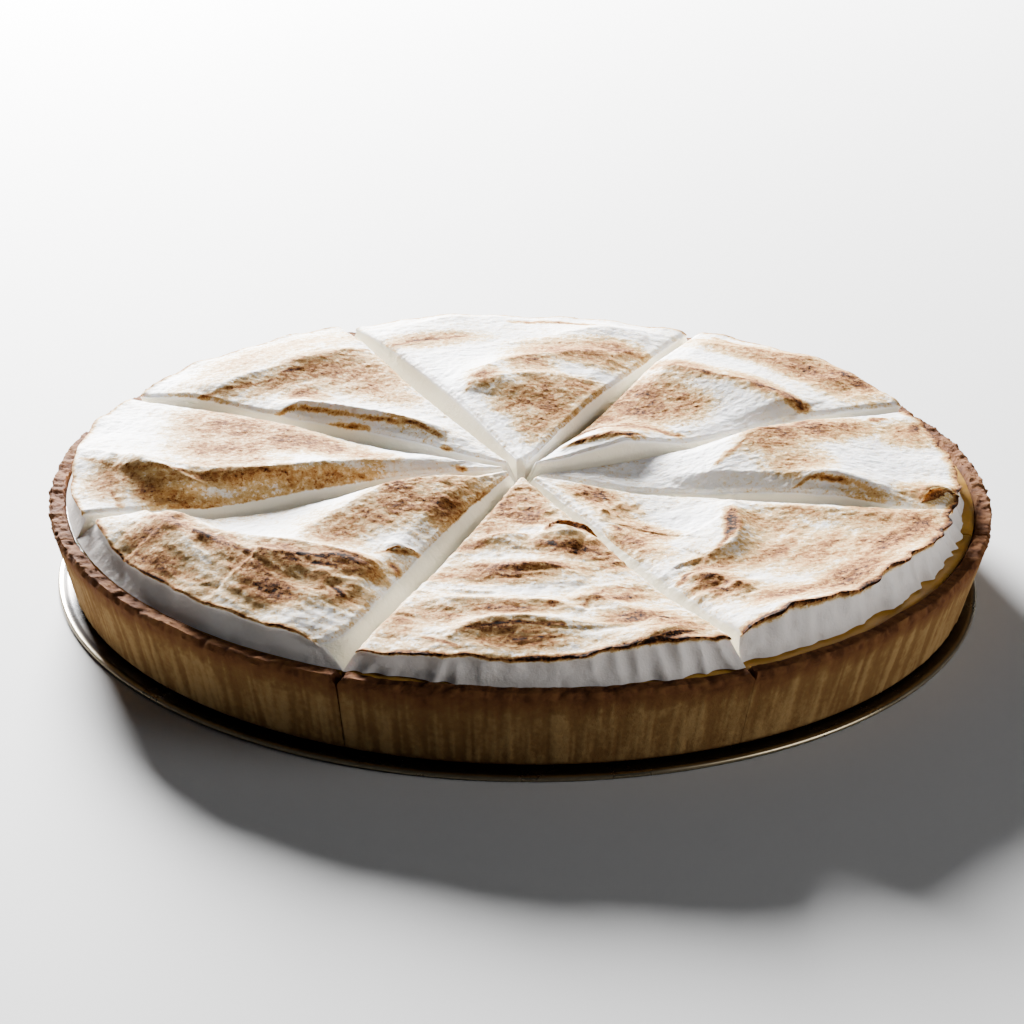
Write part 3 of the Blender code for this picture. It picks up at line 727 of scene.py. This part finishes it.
def burnt_flap(top, path_points, width, lift):
    """Points and faces of one flap, resting on the points of the meringue's top."""
    line = stroke_curve(path_points, 8)
    along = np.linspace(0.0, 1.0, len(line))
    run = np.gradient(line, axis=0)
    aside = np.stack([-run[:, 1], run[:, 0]], axis=-1) / np.linalg.norm(run, axis=1)[:, None]
    swell = np.maximum(np.sin(math.pi * along), 0.04) ** 0.6
    ground = np.array([top[np.argmin(((top[:, :2] - spot) ** 2).sum(axis=1)), 2] for spot in line])
    rings = []
    for place, side, size, low in zip(line, aside, swell, ground):
        turns = np.linspace(0.0, 2.0 * math.pi, FLAP_TURNS, endpoint=False)
        across = 0.5 + 0.5 * np.cos(turns)
        flat = place + side * (width * size * across)[:, None]
        height = low - 0.25 + lift * size * across**1.7 + 0.28 * size * np.sin(turns)
        rings.append(np.column_stack([flat, height]))
    faces = grid_quads(len(line), FLAP_TURNS, wrap=True).tolist()
    faces.append(list(range(FLAP_TURNS)))
    faces.append(list(range((len(line) - 1) * FLAP_TURNS, len(line) * FLAP_TURNS)))
    return np.vstack(rings), faces


# %% Build the eight meringue portions
def border_walk(rows, columns):
    """Point numbers round the border of a grid, in order."""
    first = [row * columns for row in range(rows)]
    outer = [(rows - 1) * columns + column for column in range(1, columns)]
    last = [row * columns + columns - 1 for row in range(rows - 2, -1, -1)]
    return np.array(first + outer + last + list(range(columns - 2, 0, -1)))


def meringue_portion(portion):
    name = f"torched_meringue_{portion}"
    shares = (np.linspace(0, 1, ROWS), np.linspace(0, 1, COLUMNS))
    outward, across = (grid.ravel() for grid in np.meshgrid(*shares, indexing="ij"))
    top, toast = meringue_top(portion, outward, across)
    border = border_walk(ROWS, COLUMNS)
    layers = [(top, toast, 0.0 * toast, 0.0 * toast)]
    for ring in range(1, RINGS + 1):
        depth = (ring / RINGS) ** 1.25
        radius, angle = meringue_place(portion, outward[border], across[border], depth + 0.0 * border)
        low = top[border, 2] + (meringue_foot - top[border, 2]) * depth
        ring_points = polar_points(radius, angle, low)
        swelling = 0.20 * WALL_FOLDS[portion] * math.sin(math.pi * depth)
        bubble = swelling * layered_noise(ring_points, 3.5, 71, 2)
        ring_points[:, :2] *= (1.0 + bubble / radius)[:, None]
        outside = outward[border] > 0.999
        dark = edge_burn(portion, angle) * np.exp(-((depth / SCORCH_DEPTH[portion]) ** 1.3))
        spill = toast[border] * np.exp(-depth / 0.05)
        burnt = np.clip(np.where(outside, dark, spill), 0.0, 1.0)
        # Share of painted warm bounce light from the curd, on the faces inside the cuts.
        cut_bounce_share = np.where(outside, 0.0, min(1.0, depth * 8.0))
        # Below the lip the outer wall gets more gloss and a painted shade, a greyer, warmer white than the
        # top.
        wall_gloss_and_shade = np.where(outside, min(1.0, depth * 6.0), 0.0)
        layers.append((ring_points, burnt, cut_bounce_share, wall_gloss_and_shade))
    faces = grid_quads(ROWS, COLUMNS).tolist()
    count = len(border)
    sides = grid_quads(RINGS + 1, count, wrap=True)
    numbering = np.concatenate([border, len(top) + np.arange(RINGS * count)])
    faces += numbering[sides].tolist()
    faces.append(numbering[-count:].tolist())
    first = len(top) + RINGS * count
    for *shape, burnt in FLAPS.get(portion, ()):
        flap_points, flap_faces = burnt_flap(top, *shape)
        faces += [[first + corner for corner in face] for face in flap_faces]
        first += len(flap_points)
        plain = np.zeros(len(flap_points))
        layers.append((flap_points, plain + burnt, plain, plain))
    points, *values = (np.concatenate(parts) for parts in zip(*layers))
    return make_piece(name, points, faces, dict(zip(("toast", "cut", "wall_gloss_and_shade"), values)))


meringues = {portion: meringue_portion(portion) for portion in PORTIONS}
print("meringue points", sum(len(piece.data.vertices) for piece in meringues.values()))

# %% [markdown]
# ## Finishes made of nodes
# Each finish below is a small tree of shader nodes, and the same few kinds of node come back in
# all of them. A helper for each kind makes the node, sets it and links it in one line. The
# noise is read in the object's own space, so a finish stays on its piece when the piece moves.

# %% Shader helpers
def new_material(name):
    material = bpy.data.materials.new(name)
    material.use_nodes = True
    return material, material.node_tree, material.node_tree.nodes["Principled BSDF"]


def set_sockets(node, numbers):
    """Numbers and colours that are the same all over a surface."""
    for name, number in numbers.items():
        node.inputs[name].default_value = number


def noise_node(tree, scale, detail=4.0, roughness=0.6):
    """Noise in the object's own space."""
    place = tree.nodes.new("ShaderNodeTexCoord")
    noise = tree.nodes.new("ShaderNodeTexNoise")
    set_sockets(noise, {"Scale": scale, "Detail": detail, "Roughness": roughness})
    tree.links.new(place.outputs["Object"], noise.inputs["Vector"])
    return noise.outputs["Fac"]


def value_node(tree, label):
    """A value kept on the mesh's points."""
    attribute = tree.nodes.new("ShaderNodeAttribute")
    attribute.attribute_name = label
    return attribute.outputs["Fac"]


def math_node(tree, operation, first, second, clamp=False):
    node = tree.nodes.new("ShaderNodeMath")
    node.operation = operation
    node.use_clamp = clamp
    for socket, source in zip(node.inputs, (first, second)):
        if isinstance(source, float):
            socket.default_value = source
        else:
            tree.links.new(source, socket)
    return node.outputs["Value"]


def range_node(tree, source, *limits):
    """Move a value from one range to another: from low, from high, to low, to high."""
    node = tree.nodes.new("ShaderNodeMapRange")
    set_sockets(node, dict(zip(("From Min", "From Max", "To Min", "To Max"), limits)))
    tree.links.new(source, node.inputs["Value"])
    return node.outputs["Result"]


def ramp_node(tree, source, stops):
    """A colour ramp from (place, colour) stops."""
    ramp = tree.nodes.new("ShaderNodeValToRGB")
    elements = ramp.color_ramp.elements
    elements[0].position, elements[0].color = stops[0][0], (*stops[0][1], 1.0)
    elements[1].position, elements[1].color = stops[-1][0], (*stops[-1][1], 1.0)
    for position, color in stops[1:-1]:
        elements.new(position).color = (*color, 1.0)
    tree.links.new(source, ramp.inputs["Fac"])
    return ramp.outputs["Color"]


def mix_node(tree, share, first, second):
    """Mix two colours, each a plain colour or another node's output."""
    mix = tree.nodes.new("ShaderNodeMix")
    mix.data_type = "RGBA"
    tree.links.new(share, mix.inputs[0])
    for socket, source in zip((mix.inputs[6], mix.inputs[7]), (first, second)):
        if isinstance(source, tuple):
            socket.default_value = (*source, 1.0)
        else:
            tree.links.new(source, socket)
    return mix.outputs[2]


def bump_node(tree, height, distance, strength, normal=None):
    bump = tree.nodes.new("ShaderNodeBump")
    set_sockets(bump, {"Distance": distance, "Strength": strength})
    tree.links.new(height, bump.inputs["Height"])
    if normal is not None:
        tree.links.new(normal, bump.inputs["Normal"])
    return bump.outputs["Normal"]


# %% [markdown]
# ## The finish of the meringue
# Raw meringue is a soft white foam that light enters, so the shader has some subsurface
# scattering. The torch turns it cream, tan, brown and at last black. The toasting worked out
# above sets how far, and a fine noise breaks it into the small spots that a flame leaves.

# %% Meringue material
FOAM_WHITE = (0.88, 0.87, 0.88)
# Painted warm light: the white foam of the cut faces is coloured cream for the light that the curd bounces
# onto it.
CUT_BOUNCE_CREAM = (0.86, 0.80, 0.66)
# Painted shade: the outer wall is the same foam as the top, coloured a greyer, warmer white than it.
SHADED_WALL_WHITE = (0.78, 0.72, 0.67)
TOAST_STOPS = (
    (0.06, (0.82, 0.69, 0.45)), (0.16, (0.59, 0.385, 0.165)), (0.31, (0.385, 0.198, 0.066)),
    (0.52, (0.205, 0.081, 0.025)), (0.78, (0.070, 0.024, 0.008)), (1.0, (0.012, 0.006, 0.004)),
)


def meringue_material():
    material, tree, shader = new_material("torched_meringue")
    toast = value_node(tree, "toast")
    spots = range_node(tree, noise_node(tree, 620.0, 6.0, 0.72), 0.36, 0.66, 0.45, 1.60)
    flecks = range_node(tree, noise_node(tree, 900.0, 3.0, 0.6), 0.56, 0.66, 0.0, 0.90)
    unevenness = math_node(tree, "ADD", spots, flecks)
    browned = math_node(tree, "MULTIPLY", toast, unevenness, clamp=True)
    # The outer wall is mixed towards its painted shade colour.
    outer = mix_node(tree, value_node(tree, "wall_gloss_and_shade"), FOAM_WHITE, SHADED_WALL_WHITE)
    # Inside the cuts the foam is mixed towards cream, a painted bounce of warm light from the curd.
    foam = mix_node(tree, value_node(tree, "cut"), outer, CUT_BOUNCE_CREAM)
    begun = range_node(tree, browned, 0.04, 0.13, 0.0, 1.0)
    toasted = ramp_node(tree, browned, TOAST_STOPS)
    tree.links.new(mix_node(tree, begun, foam, toasted), shader.inputs["Base Color"])
    dull = range_node(tree, browned, 0.0, 0.4, 0.50, 0.90)
    glossy = range_node(tree, value_node(tree, "wall_gloss_and_shade"), 0.0, 1.0, 0.0, -0.30)
    tree.links.new(math_node(tree, "ADD", dull, glossy, clamp=True), shader.inputs["Roughness"])
    skin = noise_node(tree, 300.0, 5.0, 0.6)
    grain = noise_node(tree, 1000.0, 4.0, 0.65)
    first = bump_node(tree, skin, 0.0007, 0.5)
    tree.links.new(bump_node(tree, grain, 0.0003, 0.5, first), shader.inputs["Normal"])
    set_sockets(shader, {
        "Specular IOR Level": 0.02, "Subsurface Weight": 0.15,
        "Subsurface Radius": (1.0, 0.75, 0.55), "Subsurface Scale": 0.0012,
    })
    return material


meringue_finish = meringue_material()
for portion, piece in meringues.items():
    piece.data.materials.append(meringue_finish)
    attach(piece, "root")
    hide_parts(f"meringue_{portion}")

# %% [markdown]
# ## The crust
# The case is pressed by hand into a ribbed tin, so its side carries fine upright marks and its
# rim is lumpy and crumbly. Its section is swept across each portion. The points along the
# section are close together on the side and on the rim, which show, and far apart inside.

# %% Section of the crust
FOOT_RADIUS = 133.8
RIM_THICKNESS = 5.0
SHOULDER = 1.6
FLOOR_THICKNESS = 4.0
FOOT_ROUNDING = 1.0
CRUST_STEPS = 150
CRUST_CUT_GAPS = (0.15, 0.15, 0.15, 0.15, 0.15, 0.28, 0.06, 0.08)
RIM_NOTCHES = (0.4, 0.3, 0.3, 0.4, 0.4, 1.3, 0.9, 0.8)


def inner_wall_radius(height):
    flare = (rim_radius - FOOT_RADIUS) / (CRUST_HEIGHT - SHOULDER)
    return rim_radius - RIM_THICKNESS - flare * (CRUST_HEIGHT - SHOULDER - height)


def spread_points(corners):
    """Points along a closed section; each corner says how many points lead to the next."""
    section = []
    for here, there in zip(corners, corners[1:] + corners[:1]):
        run = np.subtract(there[:2], here[:2])
        section += [here[:2] + step / here[2] * run for step in range(here[2])]
    return np.array(section)


def crust_section():
    shoulder = CRUST_HEIGHT - SHOULDER
    inner = rim_radius - RIM_THICKNESS
    low_wall = FLOOR_THICKNESS + 2.0 * FOOT_ROUNDING
    corners = (
        (TIP_RADIUS, 0.0, 6),
        (FOOT_RADIUS - FOOT_ROUNDING, 0.0, 2),
        (FOOT_RADIUS, FOOT_ROUNDING, 26),
        (rim_radius, shoulder, 3),
        (rim_radius - 0.5 * SHOULDER, CRUST_HEIGHT, 6),
        (inner + 0.5 * SHOULDER, CRUST_HEIGHT, 3),
        (inner, shoulder, 6),
        (inner_wall_radius(low_wall), low_wall, 2),
        (inner_wall_radius(FLOOR_THICKNESS) - 2.0 * FOOT_ROUNDING, FLOOR_THICKNESS, 4),
        (TIP_RADIUS, FLOOR_THICKNESS, 2),
    )
    return spread_points(corners)


# %% [markdown]
# The crust was cut together with the meringue. A knife crushes a dry rim more than it does the
# side below, so each cut opens into a small notch at the rim. Crumbs and ribs are noise that
# moves the points outwards and up, because they show against the light as bumps in the outline.

# %% Build the eight crust portions
def sweep_portion(portion, section, steps):
    """Points of a section swept across a portion, row after row."""
    share = np.linspace(0.0, 1.0, steps)[:, None]
    radius = section[None, :, 0] + 0.0 * share
    height = section[None, :, 1] + 0.0 * share
    gaps = []
    for cut in (portion - 1, portion):
        number = cut % len(CRUST_CUT_GAPS)
        uneven = 1.0 + 0.7 * value_noise(noise_places(height, radius), 4.0, 80 + number)
        notch = RIM_NOTCHES[number] * smooth_step(CRUST_HEIGHT - 2.5, CRUST_HEIGHT, height)
        gaps.append(CRUST_CUT_GAPS[number] * uneven.reshape(radius.shape) + notch)
    angle = angle_across(portion, share, radius, *gaps)
    return radius.ravel(), angle.ravel(), height.ravel()


def sweep_faces(rows, columns):
    """Faces of a swept closed section with a cap on each end."""
    faces = grid_quads(rows, columns, wrap=True).tolist()
    faces.append(list(range(columns)))
    faces.append(list(range((rows - 1) * columns, rows * columns)))
    return faces


RIM_LUMP = 0.5


def rim_lumps(angle):
    waves = ((7, 0.3, 0.30), (19, 1.9, 0.26), (31, 4.1, 0.24), (47, 2.7, 0.20))
    return RIM_LUMP * (wave_sum(angle, waves) - 1.0)


def crust_portion(portion):
    section = crust_section()
    radius, angle, height = sweep_portion(portion, section, CRUST_STEPS)
    flat = polar_points(radius, angle, height)
    outside = smooth_step(FOOT_RADIUS - 2.0, FOOT_RADIUS - 0.5, radius) * smooth_step(0.2, 1.5, height)
    on_rim = smooth_step(CRUST_HEIGHT - 5.0, CRUST_HEIGHT - 1.0, height)
    ribs = layered_noise(noise_places(angle * rim_radius, 0.06 * height), 2.2, 5, 3, 0.8)
    pits = np.maximum(0.0, value_noise(flat, 2.2, 9) - 0.45)
    crumbs = 0.40 - 1.0 * np.abs(value_noise(flat, 3.7, 13)) + 0.9 * layered_noise(flat, 2.3, 15, 3, 0.7)
    outward = outside * (1.0 - on_rim) * (0.16 * ribs - 0.5 * pits - 0.18)
    outward += on_rim * outside * (0.45 * crumbs - 0.25)
    lift = on_rim * (rim_lumps(angle) + 0.42 * crumbs - 0.15)
    points = polar_points(radius + outward, angle, crust_bottom + height + lift)
    bake = smooth_step(CRUST_HEIGHT - 9.0, CRUST_HEIGHT - 0.5, height + 1.6 * crumbs)
    values = {
        "bake": bake - 0.25 * on_rim * crumbs,
        "rib": np.clip(0.5 + 0.5 * ribs, 0.0, 1.0) * outside,
    }
    faces = sweep_faces(CRUST_STEPS, len(section))
    return make_piece(f"baked_crust_{portion}", points, faces, values)


crusts = {portion: crust_portion(portion) for portion in PORTIONS}
print("crust points", sum(len(piece.data.vertices) for piece in crusts.values()))

# %% [markdown]
# Baked shortcrust is matt and dry. Its side is a pale golden brown with darker streaks in the
# grooves between its ribs, and its rim, which stood in the oven's heat, is a deep reddish brown.

# %% Crust material
def crust_material():
    material, tree, shader = new_material("baked_shortcrust")
    bake = value_node(tree, "bake")
    rib = value_node(tree, "rib")
    mottle = noise_node(tree, 90.0, 5.0, 0.6)
    fleck = noise_node(tree, 700.0, 3.0, 0.6)
    baked = math_node(tree, "MULTIPLY", bake, 0.62)
    mottled = math_node(tree, "MULTIPLY", mottle, 0.38)
    shade = math_node(tree, "ADD", baked, mottled)
    # The side is darker in the grooves between the ribs and lighter on the ribs.
    streak = range_node(tree, rib, 0.0, 1.0, 0.16, -0.12)
    shade = math_node(tree, "ADD", shade, streak)
    grain = range_node(tree, fleck, 0.3, 0.7, -0.06, 0.06)
    shade = math_node(tree, "ADD", shade, grain, clamp=True)
    stops = (
        (0.08, (0.34, 0.205, 0.080)), (0.28, (0.21, 0.112, 0.038)), (0.50, (0.175, 0.080, 0.028)),
        (0.80, (0.135, 0.054, 0.021)), (0.95, (0.080, 0.031, 0.013)),
    )
    tree.links.new(ramp_node(tree, shade, stops), shader.inputs["Base Color"])
    set_sockets(shader, {"Roughness": 0.90, "Specular IOR Level": 0.03})
    rough = noise_node(tree, 1100.0, 4.0, 0.7)
    tree.links.new(bump_node(tree, rough, 0.0004, 0.8), shader.inputs["Normal"])
    return material


crust_finish = crust_material()
for portion, piece in crusts.items():
    piece.data.materials.append(crust_finish)
    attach(piece, "root")
    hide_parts(f"crust_{portion}")

# %% [markdown]
# ## The lemon curd
# The curd fills the case almost to its rim and shows as an amber strip beside the meringue and
# deep in the cuts. It is swept like the crust. It is smooth and wet, and some light enters it.

# %% Curd
CURD_STEPS = 60


def curd_portion(portion):
    bottom = FLOOR_THICKNESS + CONTACT_GAP
    top = curd_top - crust_bottom
    lift = bottom + 2.5 * FOOT_ROUNDING
    side = 1.5 * CONTACT_GAP
    corners = (
        (inner_wall_radius(FLOOR_THICKNESS) - 2.6 * FOOT_ROUNDING, bottom, 2),
        (inner_wall_radius(lift) - side, lift, 6),
        (inner_wall_radius(top) - side, top - CONTACT_GAP, 1),
        (inner_wall_radius(top) - 3.0 * side, top, 8),
        (inner_wall_radius(top) - 8.0, top, 2),
        (TIP_RADIUS, top, 2),
        (TIP_RADIUS, bottom, 2),
    )
    section = spread_points(corners)
    radius, angle, height = sweep_portion(portion, section, CURD_STEPS)
    flat = polar_points(radius, angle, height)
    strip = smooth_step(inner_wall_radius(top) - 7.0, inner_wall_radius(top) - 4.0, radius)
    wave = 0.25 * layered_noise(flat, 6.0, 31, 2) - 0.2
    height = height + strip * smooth_step(top - 1.0, top, height) * wave
    points = polar_points(radius, angle, crust_bottom + height)
    return make_piece(f"lemon_curd_{portion}", points, sweep_faces(CURD_STEPS, len(section)))


def curd_material():
    material, tree, shader = new_material("lemon_curd")
    cloud = noise_node(tree, 120.0, 4.0, 0.55)
    stops = ((0.30, (0.38, 0.19, 0.024)), (0.70, (0.55, 0.29, 0.040)))
    tree.links.new(ramp_node(tree, cloud, stops), shader.inputs["Base Color"])
    set_sockets(shader, {
        "Roughness": 0.34, "Specular IOR Level": 0.35, "Subsurface Weight": 0.3,
        "Subsurface Radius": (1.0, 0.6, 0.2), "Subsurface Scale": 0.003,
    })
    fine = noise_node(tree, 500.0, 3.0, 0.5)
    tree.links.new(bump_node(tree, fine, 0.0003, 0.3), shader.inputs["Normal"])
    return material


curd_finish = curd_material()
for portion in PORTIONS:
    piece = curd_portion(portion)
    piece.data.materials.append(curd_finish)
    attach(piece, "root")
    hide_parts(f"filling_{portion}")

# %% [markdown]
# ## The tin base
# The loose base of the tart tin is a thin pressed disc. Its edge is rolled into a small bead,
# which is painted lighter than the disc: a painted highlight for the bright line where it
# catches the light. Its dark brown colour is a painted reflection of the crust and of dark
# surroundings.

# %% Tin base
BASE_TURNS = 256


def base_section():
    """Half section of the disc in mm: flat faces, and a bead at the edge."""
    bead = 0.5 * base_top
    angles = np.linspace(-0.5 * math.pi, 0.5 * math.pi, 9)
    edge = [(base_radius - bead + bead * math.cos(a), bead + bead * math.sin(a)) for a in angles]
    groove = [(base_radius - 2.2 * bead, base_top - 0.02), (base_radius - 3.0 * bead, base_top - 0.35)]
    inside = [(base_radius - 4.0 * bead, base_top - 0.4), (base_radius - 12.0, base_top - 0.4)]
    return edge + groove + inside


def tin_base():
    section = np.array(base_section())
    angles = np.linspace(0.0, 2.0 * math.pi, BASE_TURNS, endpoint=False)
    rings = [polar_points(section[:, 0], angle, section[:, 1]) for angle in angles]
    count = len(section)
    points = np.vstack(rings)
    points[:, 0] += base_centre[0] / MM
    points[:, 1] += base_centre[1] / MM
    faces = []
    starts = [number * count for number in range(BASE_TURNS)]
    for here, there in zip(starts, starts[1:] + starts[:1]):
        for step in range(count - 1):
            faces.append((here + step, there + step, there + step + 1, here + step + 1))
    faces.append(starts)
    faces.append([start + count - 1 for start in starts])
    on_bead = np.tile((np.arange(count) >= 3) & (np.arange(count) < 9), BASE_TURNS)
    return make_piece("tin_base_disc", points, faces, {"bead": on_bead.astype(float)})


def tin_material():
    material, tree, shader = new_material("tin_with_painted_reflection")
    # Painted reflection: the dark brown and grey colour of the metal stands in for the crust and the dark
    # surroundings mirrored in it; the same noise varies the roughness.
    reflection_and_roughness_noise = noise_node(tree, 45.0, 6.0, 0.6)
    stops = ((0.35, (0.10, 0.10, 0.105)), (0.52, (0.075, 0.062, 0.05)), (0.68, (0.045, 0.028, 0.018)))
    painted_reflection = ramp_node(tree, reflection_and_roughness_noise, stops)
    # Painted highlight: the bead is coloured lighter than the disc for the bright line along the rolled
    # edge.
    bead = (0.34, 0.28, 0.18)
    tree.links.new(mix_node(tree, value_node(tree, "bead"), painted_reflection, bead), shader.inputs["Base Color"])
    tree.links.new(range_node(tree, reflection_and_roughness_noise, 0.3, 0.7, 0.22, 0.42), shader.inputs["Roughness"])
    set_sockets(shader, {"Metallic": 1.0})
    scratch = noise_node(tree, 600.0, 3.0, 0.5)
    tree.links.new(bump_node(tree, scratch, 0.0001, 0.2), shader.inputs["Normal"])
    return material


disc = tin_base()
disc.data.materials.append(tin_material())
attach(disc, "root")
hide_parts("tin_base")

# %% [markdown]
# ## Floor and light
# The floor is plain and pale. As in the photograph, a soft light stands low behind the tart, a
# little to the left. It whitens the meringue, draws the crests with small shadows and leaves
# the front of the crust in shade. A weak light on the right keeps the shade from going black.

# %% Floor and lights
def area_light(name, where, target, size, power):
    light = bpy.data.lights.new(name, "AREA")
    light.shape = "DISK"
    light.size = size
    light.energy = power
    lamp = bpy.data.objects.new(name, light)
    lamp.location = where
    lamp.rotation_euler = (Vector(target) - Vector(where)).to_track_quat("-Z", "Y").to_euler()
    bpy.context.scene.collection.objects.link(lamp)


floor_mesh = bpy.data.meshes.new("floor")
FLOOR_REACH = 6.0
corners = [(x * FLOOR_REACH, y * FLOOR_REACH, 0.0) for x, y in ((-1, -1), (1, -1), (1, 1), (-1, 1))]
floor_mesh.from_pydata(corners, [], [(0, 1, 2, 3)])
floor = bpy.data.objects.new("floor", floor_mesh)
bpy.context.scene.collection.objects.link(floor)
floor_material, _, floor_shader = new_material("pale_floor")
set_sockets(floor_shader, {"Base Color": (0.45, 0.45, 0.45, 1.0), "Roughness": 0.8})
floor_mesh.materials.append(floor_material)

area_light("key_light", (-0.46, 1.51, 0.45), (0.0, 0.0, 0.02), 0.60, 500.0)
area_light("fill_light", (1.5, -0.5, 0.6), (0.0, 0.0, 0.0), 0.9, 14.0)

world = bpy.data.worlds.new("studio")
bpy.context.scene.world = world
world.use_nodes = True
backdrop = world.node_tree.nodes["Background"]
backdrop.inputs["Color"].default_value = (0.88, 0.92, 1.0, 1.0)
backdrop.inputs["Strength"].default_value = 0.042
